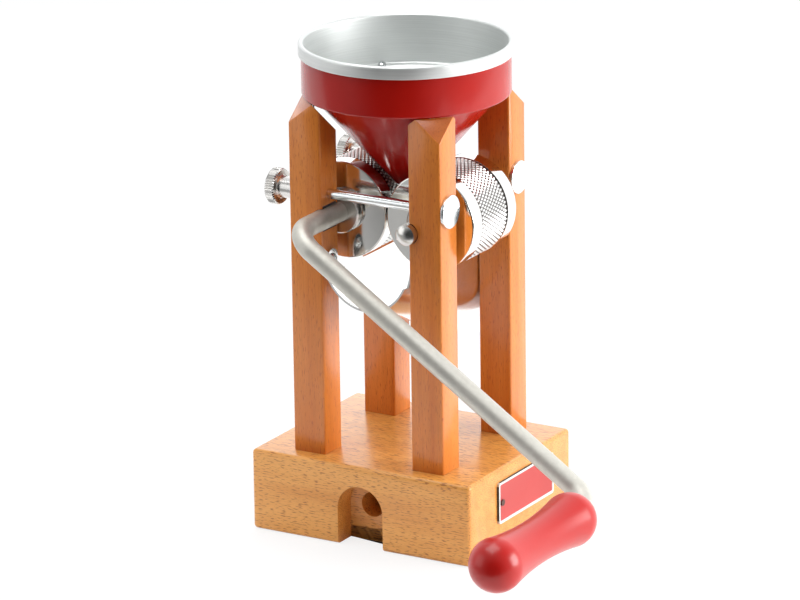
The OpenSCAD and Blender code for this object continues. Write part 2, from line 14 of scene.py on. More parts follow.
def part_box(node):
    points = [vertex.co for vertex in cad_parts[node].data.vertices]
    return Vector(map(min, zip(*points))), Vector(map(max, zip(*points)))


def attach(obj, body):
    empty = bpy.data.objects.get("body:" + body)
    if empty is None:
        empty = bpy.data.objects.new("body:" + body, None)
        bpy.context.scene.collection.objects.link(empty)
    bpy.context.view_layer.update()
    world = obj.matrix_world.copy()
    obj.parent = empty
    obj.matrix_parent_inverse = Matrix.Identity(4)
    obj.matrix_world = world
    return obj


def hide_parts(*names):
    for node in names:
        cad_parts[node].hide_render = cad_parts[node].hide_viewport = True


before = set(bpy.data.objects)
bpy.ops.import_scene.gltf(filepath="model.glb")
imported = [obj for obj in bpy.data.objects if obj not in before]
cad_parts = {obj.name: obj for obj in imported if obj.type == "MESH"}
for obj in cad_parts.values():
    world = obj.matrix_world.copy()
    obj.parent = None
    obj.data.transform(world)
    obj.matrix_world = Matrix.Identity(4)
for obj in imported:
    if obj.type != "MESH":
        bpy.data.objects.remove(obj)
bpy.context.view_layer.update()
MM = 0.001
print("nodes in the frame:", len(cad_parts))

# %% [markdown]
# The photograph was taken from the front right, a little above the machine, with a
# long lens. The numbers below were fitted to the corners of the base and posts, so
# the camera is set from two angles, a distance and a slight roll. A long lens far
# away keeps the posts nearly parallel, as in the photograph.

# %% Camera
VIEW_AZIMUTH = math.radians(30.515)
VIEW_ELEVATION = math.radians(17.389)
VIEW_ROLL = -0.01424
VIEW_DISTANCE = 3.2918
VIEW_TARGET = Vector((-0.00745, 0.00181, 0.13217))
VIEW_LENS = 254.66
SENSOR_WIDTH = 36
CLIP_END = 20


def make_camera():
    """A camera that looks at the target from the fitted angles."""
    level = math.cos(VIEW_ELEVATION)
    back = Vector((math.sin(VIEW_AZIMUTH) * level, -math.cos(VIEW_AZIMUTH) * level,
                   math.sin(VIEW_ELEVATION)))
    right = Vector((math.cos(VIEW_AZIMUTH), math.sin(VIEW_AZIMUTH), 0))
    upward = back.cross(right)
    right_rolled = right * math.cos(VIEW_ROLL) + upward * math.sin(VIEW_ROLL)
    up_rolled = back.cross(right_rolled)
    lens = bpy.data.cameras.new("camera")
    lens.lens = VIEW_LENS
    lens.sensor_width = SENSOR_WIDTH
    lens.clip_end = CLIP_END
    camera = bpy.data.objects.new("camera", lens)
    bpy.context.scene.collection.objects.link(camera)
    camera.matrix_world = Matrix((
        (right_rolled.x, up_rolled.x, back.x, VIEW_TARGET.x + back.x * VIEW_DISTANCE),
        (right_rolled.y, up_rolled.y, back.y, VIEW_TARGET.y + back.y * VIEW_DISTANCE),
        (right_rolled.z, up_rolled.z, back.z, VIEW_TARGET.z + back.z * VIEW_DISTANCE),
        (0, 0, 0, 1)))
    bpy.context.scene.camera = camera


make_camera()
bpy.context.scene.view_settings.view_transform = "Standard"

# %% [markdown]
# Polished steel has no look of its own: it shows the room. The room here is a studio
# with a brightly lit wall behind on the left, softer sides and a dark corner in front
# on the right, where the photographer stands. The dark corner keeps the red deep in the
# middle, and the bright wall turns every edge that is seen at a low angle pale. The
# camera itself sees plain white behind the machine.

# %% World
ROOM_BRIGHT = (1.45, 1.45, 1.47, 1)
ROOM_SIDE = (0.43, 0.43, 0.43, 1)
ROOM_DARK = (0.03, 0.03, 0.03, 1)
ROOM_TURN = math.radians(17)
ROOM_STOPS = [(0.05, ROOM_DARK), (0.18, ROOM_SIDE), (0.5, ROOM_SIDE), (0.88, ROOM_BRIGHT)]
ROOM_STRENGTH = 1.1


def add_node(tree, kind, **sockets):
    """Adds a shader node and sets its inputs by name."""
    made = tree.nodes.new(kind)
    for name, value in sockets.items():
        made.inputs[name.replace("_", " ")].default_value = value
    return made


def add_ramp(tree, stops, source=None):
    """Adds a colour ramp with (place, colour) stops."""
    ramp = tree.nodes.new("ShaderNodeValToRGB")
    elements = ramp.color_ramp.elements
    while len(elements) < len(stops):
        elements.new(0.5)
    for element, (place, colour) in zip(elements, stops):
        element.position = place
        element.color = colour
    if source is not None:
        tree.links.new(source, ramp.inputs["Fac"])
    return ramp


def make_world():
    """A room with a bright back and a dark front, and plain white for the camera."""
    world = bpy.data.worlds.new("studio")
    bpy.context.scene.world = world
    world.use_nodes = True
    tree = world.node_tree
    tree.nodes.clear()
    direction = tree.nodes.new("ShaderNodeTexCoord")
    turned = add_node(tree, "ShaderNodeMapping", Rotation=(0, 0, -ROOM_TURN))
    tree.links.new(direction.outputs["Generated"], turned.inputs["Vector"])
    split = tree.nodes.new("ShaderNodeSeparateXYZ")
    tree.links.new(turned.outputs["Vector"], split.inputs["Vector"])
    depth = add_node(tree, "ShaderNodeMapRange", From_Min=-1)
    tree.links.new(split.outputs["Y"], depth.inputs["Value"])
    walls = add_ramp(tree, ROOM_STOPS, depth.outputs["Result"])
    room = add_node(tree, "ShaderNodeBackground", Strength=ROOM_STRENGTH)
    tree.links.new(walls.outputs["Color"], room.inputs["Color"])
    white = add_node(tree, "ShaderNodeBackground", Color=(1, 1, 1, 1), Strength=1)
    rays = tree.nodes.new("ShaderNodeLightPath")
    mix = tree.nodes.new("ShaderNodeMixShader")
    tree.links.new(rays.outputs["Is Camera Ray"], mix.inputs["Fac"])
    tree.links.new(room.outputs["Background"], mix.inputs[1])
    tree.links.new(white.outputs["Background"], mix.inputs[2])
    out = tree.nodes.new("ShaderNodeOutputWorld")
    tree.links.new(mix.outputs["Shader"], out.inputs["Surface"])


make_world()

# %% [markdown]
# One large lamp stands low behind on the right, where the photograph has its brightest
# sides. A weaker one on the left lifts the faces in front, and one above lights the
# inside of the hopper. They are area lamps, because a soft box gives soft shadows.
# Each has its place and its side in metres, and its power in watts.

# %% Lamps
AIM = Vector((0.0, 0.0, 0.15))


def add_lamp(name, place, size, power):
    """A square area lamp that points at the machine."""
    data = bpy.data.lights.new(name, "AREA")
    data.size = size
    data.energy = power
    lamp = bpy.data.objects.new(name, data)
    lamp.location = place
    lamp.rotation_euler = (AIM - Vector(place)).to_track_quat("-Z", "Y").to_euler()
    bpy.context.scene.collection.objects.link(lamp)


add_lamp("key", (1.45, 0.45, 0.5), 0.9, 28)
add_lamp("fill", (-1.2, -1.1, 0.6), 1.2, 5.5)
add_lamp("top", (-0.15, -0.3, 1.55), 1.0, 14)

# %% [markdown]
# The floor is a large pale sheet. It is white to the camera, apart from the soft
# shadow that holds the machine down. It ends a little way in front of the grip and
# under the lamp on the right, so the red hopper doesn't mirror a white floor there.

# %% Floor
FLOOR_LEFT = -4
FLOOR_RIGHT = 0.75
FLOOR_FRONT = -0.3
FLOOR_BACK = 5
FLOOR_DROP = 0.0002
FLOOR_GLOW = 0.8
FLOOR_COLOUR = (0.93, 0.93, 0.93, 1)
FLOOR_ROUGHNESS = 0.6


def make_floor():
    """A pale plane at the height that the machine stands on."""
    bpy.ops.object.select_all(action="DESELECT")
    middle = ((FLOOR_LEFT + FLOOR_RIGHT) / 2, (FLOOR_FRONT + FLOOR_BACK) / 2, -FLOOR_DROP)
    bpy.ops.mesh.primitive_plane_add(size=1, location=middle)
    floor = bpy.context.object
    floor.name = "floor"
    floor.scale = (FLOOR_RIGHT - FLOOR_LEFT, FLOOR_BACK - FLOOR_FRONT, 1)
    bpy.ops.object.transform_apply(location=True, rotation=True, scale=True)
    paint = bpy.data.materials.new("floor_white")
    paint.use_nodes = True
    tree = paint.node_tree
    shader = tree.nodes["Principled BSDF"]
    shader.inputs["Base Color"].default_value = FLOOR_COLOUR
    shader.inputs["Roughness"].default_value = FLOOR_ROUGHNESS
    lit = add_node(tree, "ShaderNodeEmission", Color=(1, 1, 1, 1), Strength=1)
    rays = tree.nodes.new("ShaderNodeLightPath")
    share = tree.nodes.new("ShaderNodeMath")
    share.operation = "MULTIPLY"
    share.inputs[1].default_value = FLOOR_GLOW
    tree.links.new(rays.outputs["Is Camera Ray"], share.inputs[0])
    mix = tree.nodes.new("ShaderNodeMixShader")
    tree.links.new(share.outputs["Value"], mix.inputs["Fac"])
    tree.links.new(shader.outputs["BSDF"], mix.inputs[1])
    tree.links.new(lit.outputs["Emission"], mix.inputs[2])
    tree.links.new(mix.outputs["Shader"], tree.nodes["Material Output"].inputs["Surface"])
    floor.data.materials.append(paint)


make_floor()

# %% [markdown]
# Everything here stands on numbers from the frame, so a piece can't drift away from
# the part that carries it. These few helpers give the middle and the size of a node,
# clear the selection, select by place, and fix a finished piece to the frame. Blender's
# operators act on whatever is selected, so each step starts by selecting nothing.

# %% Helpers for modelling
# Points nearer to each other than this, in metres, count as one place.
HAIR = 0.00001


def span(node):
    """The lowest corner, the highest corner and the middle of a node, in metres."""
    low, high = (Vector(corner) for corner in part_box(node))
    return low, high, (low + high) / 2


def deselect_everything():
    """Leaves edit mode and clears the selection."""
    if bpy.context.object is not None and bpy.context.object.mode != "OBJECT":
        bpy.ops.object.mode_set(mode="OBJECT")
    bpy.ops.object.select_all(action="DESELECT")


def pick(piece):
    """Makes one object the only one selected, and the active one."""
    deselect_everything()
    piece.select_set(True)
    bpy.context.view_layer.objects.active = piece


def select_parts(piece, kind, test):
    """In edit mode, selects the vertices, edges or faces that pass a test."""
    bpy.ops.mesh.select_all(action="DESELECT")
    bpy.ops.mesh.select_mode(type=kind)
    mesh = bmesh.from_edit_mesh(piece.data)
    elements = {"VERT": mesh.verts, "EDGE": mesh.edges, "FACE": mesh.faces}[kind]
    chosen = [element for element in elements if test(element)]
    for element in chosen:
        element.select_set(True)
    mesh.select_flush_mode()
    bmesh.update_edit_mesh(piece.data)
    return len(chosen)


def place(piece, at, turn=(0, 0, 0)):
    """Turns and moves a piece, then bakes both into its mesh."""
    piece.rotation_euler = turn
    piece.location = at
    pick(piece)
    bpy.ops.object.transform_apply(location=True, rotation=True, scale=True)


def use_modifier(piece, kind, **settings):
    """Adds a modifier, sets it up and applies it."""
    pick(piece)
    modifier = piece.modifiers.new("step", kind)
    for name, value in settings.items():
        setattr(modifier, name, value)
    bpy.ops.object.modifier_apply(modifier=modifier.name)


def carve(piece, cutter):
    """Cuts one closed shape out of another and deletes the cutter."""
    use_modifier(piece, "BOOLEAN", object=cutter, operation="DIFFERENCE", solver="EXACT")
    bpy.data.objects.remove(cutter)


def soften(piece, angle=35):
    """Smooth shading that keeps edges sharper than the angle."""
    pick(piece)
    bpy.ops.object.shade_smooth_by_angle(angle=math.radians(angle))


def copy_piece(piece, name):
    """A copy with its own mesh."""
    pick(piece)
    bpy.ops.object.duplicate(linked=False)
    twin = bpy.context.object
    twin.name = name
    return twin


def mirror_copy(piece, name, axis):
    """A copy mirrored in one plane through the origin, turned right side out again."""
    twin = copy_piece(piece, name)
    twin.scale[axis] = -1
    bpy.ops.object.transform_apply(location=False, rotation=False, scale=True)
    bpy.ops.object.mode_set(mode="EDIT")
    bpy.ops.mesh.select_all(action="SELECT")
    bpy.ops.mesh.normals_make_consistent(inside=False)
    bpy.ops.object.mode_set(mode="OBJECT")
    return twin


def dress(piece, body, nodes, slot, *finishes):
    """Fixes a finished piece to its body, hides the nodes it stands for and paints it."""
    for finish in finishes:
        piece.data.materials.append(finish)
    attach(piece, body)
    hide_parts(*nodes)
    print(piece.name, "faces:", len(piece.data.polygons))


# %% [markdown]
# Most metal pieces of this machine come off a lathe, and so do their models. A lathe
# piece starts as one point. The point is extruded along half of the section, and the
# spin operator sweeps that line round the axis. Points at the same place are merged
# afterwards, which closes the seam and the ends on the axis.

# %% A lathe
MERGE_WITHIN = 0.000004


def lathe(name, outline, steps):
    """Spins (radius, height) points, in millimetres, round the Z axis."""
    deselect_everything()
    bpy.ops.mesh.primitive_plane_add(size=MM)
    piece = bpy.context.object
    piece.name = name
    bpy.ops.object.mode_set(mode="EDIT")
    bpy.ops.mesh.select_mode(type="VERT")
    bpy.ops.mesh.select_all(action="SELECT")
    bpy.ops.mesh.merge(type="CENTER")
    radius, height = outline[0]
    bpy.ops.transform.translate(value=(radius * MM, 0, height * MM))
    for (r0, z0), (r1, z1) in zip(outline, outline[1:]):
        bpy.ops.mesh.extrude_region_move(
            TRANSFORM_OT_translate={"value": ((r1 - r0) * MM, 0, (z1 - z0) * MM)})
    bpy.ops.mesh.select_all(action="SELECT")
    bpy.ops.mesh.spin(steps=steps, angle=2 * math.pi, center=(0, 0, 0), axis=(0, 0, 1))
    close_seams()
    bpy.ops.object.mode_set(mode="OBJECT")
    return piece


def close_seams():
    """In edit mode, merges double points and points every face outwards."""
    bpy.ops.mesh.select_all(action="SELECT")
    bpy.ops.mesh.remove_doubles(threshold=MERGE_WITHIN)
    bpy.ops.mesh.normals_make_consistent(inside=False)


def arc(centre_r, centre_z, radius, start, end, steps):
    """Points on a round part of an outline; the angles are in degrees."""
    angles = [math.radians(start + (end - start) * i / steps) for i in range(steps + 1)]
    return [(centre_r + radius * math.cos(a), centre_z + radius * math.sin(a)) for a in angles]


# A lathe piece is made along Z. These turns lay it along another axis.
TO_FRONT = (math.pi / 2, 0, 0)
TO_BACK = (-math.pi / 2, 0, 0)
TO_RIGHT = (0, math.pi / 2, 0)
TO_LEFT = (0, -math.pi / 2, 0)

# %% [markdown]
# Finishes are written as small node trees. Each starts from the Principled shader and
# adds what the eye expects from that surface: a slow change of tone, fine marks from
# the tool that made it, and a bump so that those marks catch the light. Patterns read
# Object coordinates, which are the real metres of the frame.

# %% Helpers for finishes
WHITE = (1, 1, 1, 1)
BLACK = (0, 0, 0, 1)


def new_finish(name, colour, roughness, metallic=0.0):
    """A material with a Principled shader, and its node tree."""
    finish = bpy.data.materials.new(name)
    finish.use_nodes = True
    tree = finish.node_tree
    shader = tree.nodes["Principled BSDF"]
    shader.inputs["Base Color"].default_value = (*colour, 1)
    shader.inputs["Roughness"].default_value = roughness
    shader.inputs["Metallic"].default_value = metallic
    return finish, tree, shader


def pattern_place(tree, scale, shift=(0, 0, 0)):
    """Object coordinates, stretched and moved."""
    source = tree.nodes.new("ShaderNodeTexCoord")
    mapping = add_node(tree, "ShaderNodeMapping", Scale=scale, Location=shift)
    tree.links.new(source.outputs["Object"], mapping.inputs["Vector"])
    return mapping.outputs["Vector"]


def noise(tree, place_socket, detail, roughness):
    """The value of a noise pattern."""
    made = add_node(tree, "ShaderNodeTexNoise", Scale=1, Detail=detail, Roughness=roughness)
    tree.links.new(place_socket, made.inputs["Vector"])
    return made.outputs["Fac"]


def blend_colours(tree, share, first, second, mode="MIX"):
    """Mixes two colours; each colour is a socket or a plain value."""
    mix = tree.nodes.new("ShaderNodeMix")
    mix.data_type = "RGBA"
    mix.blend_type = mode
    sockets = [socket for socket in mix.inputs if socket.enabled]
    for socket, value in zip(sockets, (share, first, second)):
        if isinstance(value, bpy.types.NodeSocket):
            tree.links.new(value, socket)
        else:
            socket.default_value = value
    return next(socket for socket in mix.outputs if socket.enabled)


def add_bump(tree, shader, height, strength, distance):
    """Joins a height to the shader's normal."""
    bump = add_node(tree, "ShaderNodeBump", Strength=strength, Distance=distance)
    tree.links.new(height, bump.inputs["Height"])
    tree.links.new(bump.outputs["Normal"], shader.inputs["Normal"])


def vary_roughness(tree, shader, source, low, high):
    """Lets a pattern move the roughness between two values."""
    spread = add_node(tree, "ShaderNodeMapRange", To_Min=low, To_Max=high)
    tree.links.new(source, spread.inputs["Value"])
    tree.links.new(spread.outputs["Result"], shader.inputs["Roughness"])


# %% [markdown]
# Beech is a pale, even wood. What gives it away is its flecks: short dark dashes, two
# or three millimetres long, that all lie along the grain. Under them run soft stripes
# from the yearly rings. The flecks are a noise that is stretched along the grain and
# cut to its darkest parts; the stripes are a slower noise, stretched much further.
# Faces that cut across the grain drink more oil, so they are darker. A thin coat over
# it all makes the oiled wood pale where the light grazes it. The numbers of marks below
# are counts per metre, along the grain and across it.

# %% Beech
FLECKS_ALONG = 260
FLECKS_ACROSS = 1500
RINGS_ALONG = 6
RINGS_ACROSS = 110
FIBRES_ALONG = 60
FIBRES_ACROSS = 2600
FLECK_FADE = 0.13
FLECK_HEIGHT = 0.00012
WOOD_SHINE = 0.2
OIL_COAT = 0.75
OIL_ROUGHNESS = 0.2


def end_grain(tree, grain_axis):
    """1 on faces that cut across the grain, 0 on faces along it."""
    source = tree.nodes.new("ShaderNodeTexCoord")
    split = tree.nodes.new("ShaderNodeSeparateXYZ")
    tree.links.new(source.outputs["Normal"], split.inputs["Vector"])
    size = tree.nodes.new("ShaderNodeMath")
    size.operation = "ABSOLUTE"
    tree.links.new(split.outputs[grain_axis], size.inputs[0])
    ramp = add_ramp(tree, [(0.5, BLACK), (0.65, WHITE)], size.outputs["Value"])
    return ramp.outputs["Color"]


def grain_noise(tree, grain_axis, along, across, detail, roughness):
    """A noise with its own scale along the grain."""
    scale = [across] * 3
    scale[grain_axis] = along
    return noise(tree, pattern_place(tree, scale), detail, roughness)


def beech(name, light, dark, fleck, fleck_share, grain_axis, end_tone):
    """Oiled beech with its grain along one axis of the frame."""
    finish, tree, shader = new_finish(name, light, 0.4)
    rings = grain_noise(tree, grain_axis, RINGS_ALONG, RINGS_ACROSS, 5, 0.6)
    fibres = grain_noise(tree, grain_axis, FIBRES_ALONG, FIBRES_ACROSS, 2, 0.5)
    flecks = grain_noise(tree, grain_axis, FLECKS_ALONG, FLECKS_ACROSS, 1, 0.4)
    tone = add_ramp(tree, [(0.32, (*dark, 1)), (0.62, (*light, 1))], rings)
    dashes = add_ramp(tree, [(fleck_share, WHITE), (fleck_share + FLECK_FADE, BLACK)], flecks)
    fine = add_ramp(tree, [(0.3, (0.9, 0.9, 0.9, 1)), (0.7, (1.05, 1.05, 1.05, 1))], fibres)
    toned = blend_colours(tree, 1.0, tone.outputs["Color"], fine.outputs["Color"], "MULTIPLY")
    flecked = blend_colours(tree, dashes.outputs["Color"], toned, (*fleck, 1))
    ended = blend_colours(tree, 1.0, flecked, (*end_tone, 1), "MULTIPLY")
    colour = blend_colours(tree, end_grain(tree, grain_axis), flecked, ended)
    tree.links.new(colour, shader.inputs["Base Color"])
    vary_roughness(tree, shader, fibres, 0.34, 0.48)
    add_bump(tree, shader, flecks, 0.25, FLECK_HEIGHT)
    shader.inputs["Specular IOR Level"].default_value = WOOD_SHINE
    shader.inputs["Coat Weight"].default_value = OIL_COAT
    shader.inputs["Coat Roughness"].default_value = OIL_ROUGHNESS
    return finish


# Name, light, dark and fleck colours, share of flecks, grain axis, tone of the end grain.
BEECH_BASE = beech("beech_pale", (0.78, 0.365, 0.085), (0.67, 0.275, 0.052), (0.38, 0.135, 0.028),
                   0.32, 0, (0.95, 0.9, 0.85))
BEECH_POST = beech("beech_deep", (0.67, 0.215, 0.03), (0.57, 0.155, 0.018), (0.46, 0.12, 0.016),
                   0.27, 2, (0.62, 0.46, 0.32))
print("wood:", BEECH_BASE.name, BEECH_POST.name)

# %% [markdown]
# The bright steel shows its making only in thin marks. A turned piece carries rings
# from the lathe, the bent rod has a dull, even skin, and a polished roller has almost
# no marks. One function makes them all: the marks are a noise, squeezed along one axis
# where they are lines, and the finish sets how strong they are and how mirror-like the
# metal is. The scales of the marks are counts per metre along X, Y and Z.

# %% Steel and aluminium
METAL_CLOUD = (45, 45, 45)
MARK_HEIGHT = 0.00005


def metal(name, colour, roughness, marks, strength):
    """Bare metal with tool marks that follow a stretched noise."""
    finish, tree, shader = new_finish(name, colour, roughness, metallic=1.0)
    lines = noise(tree, pattern_place(tree, marks), 3, 0.6)
    cloud = noise(tree, pattern_place(tree, METAL_CLOUD), 2, 0.5)
    vary_roughness(tree, shader, cloud, roughness * 0.75, roughness * 1.35)
    tone = add_ramp(tree, [(0.3, (*(0.9 * part for part in colour), 1)), (0.7, (*colour, 1))], lines)
    tree.links.new(tone.outputs["Color"], shader.inputs["Base Color"])
    add_bump(tree, shader, lines, strength, MARK_HEIGHT)
    return finish


# Name, colour, roughness, scales of the marks, strength of the marks.
ROLLER_STEEL = metal("roller_steel", (0.86, 0.85, 0.82), 0.10, (30, 2400, 30), 0.05)
CHUTE_STEEL = metal("chute_steel", (0.93, 0.93, 0.92), 0.16, (900, 60, 60), 0.05)
TURNED_STEEL = metal("satin_steel", (0.66, 0.65, 0.63), 0.24, (60, 1800, 60), 0.12)
ROD_STEEL = metal("rod_steel", (0.61, 0.60, 0.55), 0.55, (300, 300, 300), 0.10)
ZINC = metal("zinc", (0.80, 0.83, 0.84), 0.20, (700, 700, 700), 0.10)
ALUMINIUM = metal("spun_aluminium", (0.70, 0.72, 0.71), 0.5, (25, 25, 1900), 0.16)
PIN_STEEL = metal("browned_pin", (0.14, 0.08, 0.07), 0.35, (300, 300, 300), 0.10)
print("metals:", ROLLER_STEEL.name, CHUTE_STEEL.name, TURNED_STEEL.name, ALUMINIUM.name)

# %% [markdown]
# The hopper is sprayed outside with a glossy red, and the grip is moulded plastic in a
# slightly lighter red with a softer shine. The shader's coat adds a faint, sharper
# highlight to both, and an orange-peel bump breaks it. The plate's printed field and the
# bearing plastic are duller still, so they get no coat.

# %% Paint and plastic
PAINT_CLOUD = (22, 22, 22)
PEEL_SCALE = (420, 420, 420)
PEEL_HEIGHT = 0.0001
COAT_ROUGHNESS = 0.1


def glossy(name, colour, deep, roughness, peel, coat, shine=0.5):
    """A glossy coloured surface with a slight unevenness."""
    finish, tree, shader = new_finish(name, colour, roughness)
    cloud = noise(tree, pattern_place(tree, PAINT_CLOUD), 3, 0.5)
    tone = add_ramp(tree, [(0.3, (*deep, 1)), (0.7, (*colour, 1))], cloud)
    tree.links.new(tone.outputs["Color"], shader.inputs["Base Color"])
    skin = noise(tree, pattern_place(tree, PEEL_SCALE), 1, 0.4)
    add_bump(tree, shader, skin, peel, PEEL_HEIGHT)
    shader.inputs["Coat Weight"].default_value = coat
    shader.inputs["Coat Roughness"].default_value = COAT_ROUGHNESS
    shader.inputs["Specular IOR Level"].default_value = shine
    return finish


# Name, colour, deeper colour, roughness, strength of the bump, coat, shine.
RED_PAINT = glossy("red_paint", (0.42, 0.008, 0.004), (0.34, 0.006, 0.003), 0.2, 0.08, 0.15, 0.3)
RED_PLASTIC = glossy("red_plastic", (0.47, 0.009, 0.006), (0.41, 0.007, 0.005), 0.3, 0.04, 0.1, 0.4)
RED_FIELD = glossy("red_field", (0.46, 0.055, 0.05), (0.41, 0.045, 0.042), 0.5, 0.12, 0.0, 0.4)
# The dark liner colour also serves as painted shade on the sides of the plate.
DARK_LINER_AND_PAINTED_SHADE = glossy("dark_liner_and_painted_shade", (0.035, 0.032, 0.03), (0.025, 0.023, 0.022), 0.5, 0.2, 0.0)
print("colours:", RED_PAINT.name, RED_PLASTIC.name, RED_FIELD.name, DARK_LINER_AND_PAINTED_SHADE.name)

# %% [markdown]
# The machine's sizes come from the frame: the two roller axles, the posts and the base
# are read from their nodes. Only sizes that the frame can't tell, such as the rounding
# of an edge, are written down below, in millimetres, where each is first needed.

# %% Places read from the frame
ROLLER_MIDDLE = span("idle_roller")[2]
AXLE_X = ROLLER_MIDDLE.x
AXLE_HEIGHT = ROLLER_MIDDLE.z
ROLLER_RADIUS = (span("idle_roller")[1].z - AXLE_HEIGHT) / MM
ROD_RADIUS = (span("idle_axle")[1].z - AXLE_HEIGHT) / MM
print("axles at", AXLE_X, AXLE_HEIGHT, "rollers", ROLLER_RADIUS, "rod", ROD_RADIUS)

# %% [markdown]
# The base is one block of beech. On the real one a router rounds its edges, an arched
# slot is milled in the front for the arm of a table clamp, a peg hole is bored behind
# the slot, and a groove crosses the underside. The model is made in the same order: a
# block, a wide bevel for the router, then cuts. A last, small bevel takes the
# sharpness off the cut edges, as sandpaper does.

# %% Base block
BASE_ROUND = 2.5
SLOT_WIDTH = 30
SLOT_DEPTH = 15
SLOT_CENTRE = 22
PEG_HOLE = 15
PEG_DEPTH = 32
GROOVE_WIDTH = 25
GROOVE_HEIGHT = 7.3
SANDED = 0.5
SPARE = 4


def box_shape(low, high):
    """A plain block between two corners, in metres."""
    low, high = Vector(low), Vector(high)
    deselect_everything()
    bpy.ops.mesh.primitive_cube_add(size=1, location=(low + high) / 2, scale=high - low)
    bpy.ops.object.transform_apply(location=True, rotation=True, scale=True)
    return bpy.context.object


def rod_shape(radius, start, end, sides=64):
    """A plain round rod between two points, in metres."""
    start, end = Vector(start), Vector(end)
    deselect_everything()
    bpy.ops.mesh.primitive_cylinder_add(
        vertices=sides, radius=radius, depth=(end - start).length, location=(start + end) / 2,
        rotation=(end - start).to_track_quat("Z", "Y").to_euler())
    bpy.ops.object.transform_apply(location=True, rotation=True, scale=True)
    return bpy.context.object


def runs_back(edge):
    """True for an edge that runs from the front to the back."""
    first, second = (vertex.co for vertex in edge.verts)
    return abs(first.y - second.y) > MM


def arch_shape(half, front, back, centre):
    """A block whose two upper edges are rounded until they meet in an arch."""
    arch = box_shape((-half, front, -SPARE * MM), (half, back, centre + half))
    bpy.ops.object.mode_set(mode="EDIT")
    select_parts(arch, "EDGE", lambda edge: runs_back(edge) and edge.verts[0].co.z > centre)
    bpy.ops.mesh.bevel(offset=half, segments=24, affect="EDGES")
    close_seams()
    bpy.ops.object.mode_set(mode="OBJECT")
    return arch


SCREW_SINK = 12
SCREW_HEAD = 4
POST_MIDDLE = span("post_front_right")[2]
POST_PLACES = [(sx * POST_MIDDLE.x, sy * POST_MIDDLE.y) for sx in (-1, 1) for sy in (-1, 1)]


def make_base():
    """The block with its slot, peg hole, groove and screw holes."""
    low, high = span("base_block")[:2]
    base = box_shape(low, high)
    base.name = "table_base"
    use_modifier(base, "BEVEL", width=BASE_ROUND * MM, segments=5, limit_method="ANGLE")
    front, back = low.y - SPARE * MM, low.y + SLOT_DEPTH * MM
    half = SLOT_WIDTH / 2 * MM
    centre = SLOT_CENTRE * MM
    carve(base, box_shape((low.x - SPARE * MM, back, -SPARE * MM),
                          (high.x + SPARE * MM, back + GROOVE_WIDTH * MM, GROOVE_HEIGHT * MM)))
    carve(base, arch_shape(half, front, back, centre))
    carve(base, rod_shape(PEG_HOLE / 2 * MM, (0, back - MM, centre), (0, back + PEG_DEPTH * MM, centre)))
    for x, y in POST_PLACES:
        sink = span("post_screws")[0].z + SCREW_HEAD * MM
        carve(base, rod_shape(SCREW_SINK / 2 * MM, (x, y, -SPARE * MM), (x, y, sink), sides=48))
    use_modifier(base, "BEVEL", width=SANDED * MM, segments=2, limit_method="ANGLE",
                 angle_limit=math.radians(60))
    soften(base)
    dress(base, "frame", ["base_block"], "beech_base", BEECH_BASE)


make_base()

# %% [markdown]
# The four posts are alike, so one is made and mirrored to the other corners. It is a
# square stick with its long edges eased. Two slanting saw cuts shape its top like a
# roof: the ridge carries the hopper. The notch in its inner face holds the axle. The
# cuts are bisections that throw the upper side away and close the wound.

# %% Posts
POST_ROUND = 1.2
RIDGE_FROM_AXIS = 59.1
ROOF_SLOPE = 1.13
EASED = 0.4
NOTCH_GAP = 0.3
LINER_WALL = 1.57
SHOULDER = 2


def saw_off(point, normal):
    """In edit mode, cuts the piece with a plane and keeps what lies behind it."""
    bpy.ops.mesh.select_all(action="SELECT")
    bpy.ops.mesh.bisect(plane_co=point, plane_no=normal, use_fill=True, clear_outer=True)


def is_upright(edge):
    """True for an edge that stands upright."""
    first, second = (vertex.co for vertex in edge.verts)
    return (first - second).xy.length < HAIR


def make_posts():
    """The front right post, and three mirrored copies."""
    low, high = span("post_front_right")[:2]
    post = box_shape(low, high)
    post.name = "post_front_right_wood"
    pick(post)
    bpy.ops.object.mode_set(mode="EDIT")
    outward = Vector((1, -1, 0)).normalized()
    ridge = outward * RIDGE_FROM_AXIS * MM + Vector((0, 0, high.z))
    upward = Vector((0, 0, 1))
    saw_off(ridge, upward + outward * ROOF_SLOPE)
    saw_off(ridge, upward - outward * ROOF_SLOPE)
    select_parts(post, "EDGE", is_upright)
    bpy.ops.mesh.bevel(offset=POST_ROUND * MM, segments=4, affect="EDGES")
    bpy.ops.object.mode_set(mode="OBJECT")
    use_modifier(post, "BEVEL", width=EASED * MM, segments=2, limit_method="ANGLE",
                 angle_limit=math.radians(50))
    front, back = Vector((AXLE_X, low.y, AXLE_HEIGHT)), Vector((AXLE_X, high.y, AXLE_HEIGHT))
    along = Vector((0, MM, 0))
    carve(post, rod_shape((ROD_RADIUS + NOTCH_GAP) * MM, front - along, back + along))
    carve(post, rod_shape((ROD_RADIUS + LINER_WALL) * MM, front + along * SHOULDER,
                          back - along * SHOULDER))
    soften(post)
    left = mirror_copy(post, "post_front_left_wood", 0)
    rear_right = mirror_copy(post, "post_rear_right_wood", 1)
    rear_left = mirror_copy(left, "post_rear_left_wood", 1)
    for piece in (post, left, rear_right, rear_left):
        dress(piece, "frame", [piece.name.replace("_wood", "")], "beech_post", BEECH_POST)


make_posts()

# %% [markdown]
# The hopper is spun from one aluminium disc: a cone, a flat shelf that stands on the
# posts, an upright band and a rolled lip. Outside it is sprayed red up to the lip;
# inside and on the lip it stays bare. The outline below goes up the outside, round the
# lip and down the inside. Two cylinders then cut the windows through which the rollers
# take the grain, and the faces that look outwards get the paint.

